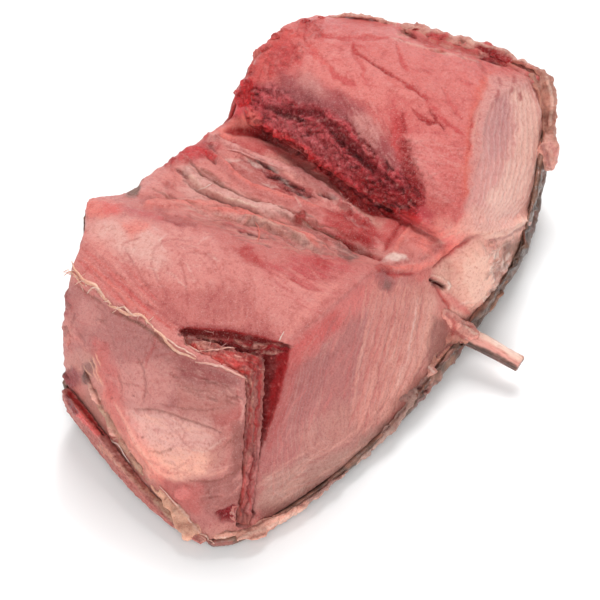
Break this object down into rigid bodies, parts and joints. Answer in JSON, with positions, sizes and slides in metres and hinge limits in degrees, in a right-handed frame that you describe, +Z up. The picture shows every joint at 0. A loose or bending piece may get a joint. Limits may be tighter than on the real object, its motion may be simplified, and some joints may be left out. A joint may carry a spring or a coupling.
{
  "type": "bonito collar",
  "caption": "Raw fish collar lying on its skin: a front lobe of pink flesh, a membrane groove and a rear lobe of dark red meat, with cut bone edges and a sawn fin stub.",
  "frame": {"origin": "middle of the bounding box at its base, on the surface that the collar lies on", "axes": "+X along the collar from the front lobe to the rear lobe, +Y away from the side with the fin stub, +Z up"},
  "size_m": [0.1822, 0.1216, 0.0592],
  "materials": {
    "flesh": "moist raw fish flesh, pink to salmon, with dark red meat above the groove",
    "skin": "wet grey fish skin with a brown cut edge",
    "bone_plate": "porous bone stained dark red with blood",
    "collar_bone": "cream bone and membrane, damp",
    "fin_bone": "cream-pink bone under a thin grey skin, damp"
  },
  "bodies": {
    "root": {"flesh": "flesh", "skin": "skin", "bone_plate": "bone_plate", "collar_bone": "collar_bone", "fin_bone": "fin_bone"}
  },
  "joints": []
}
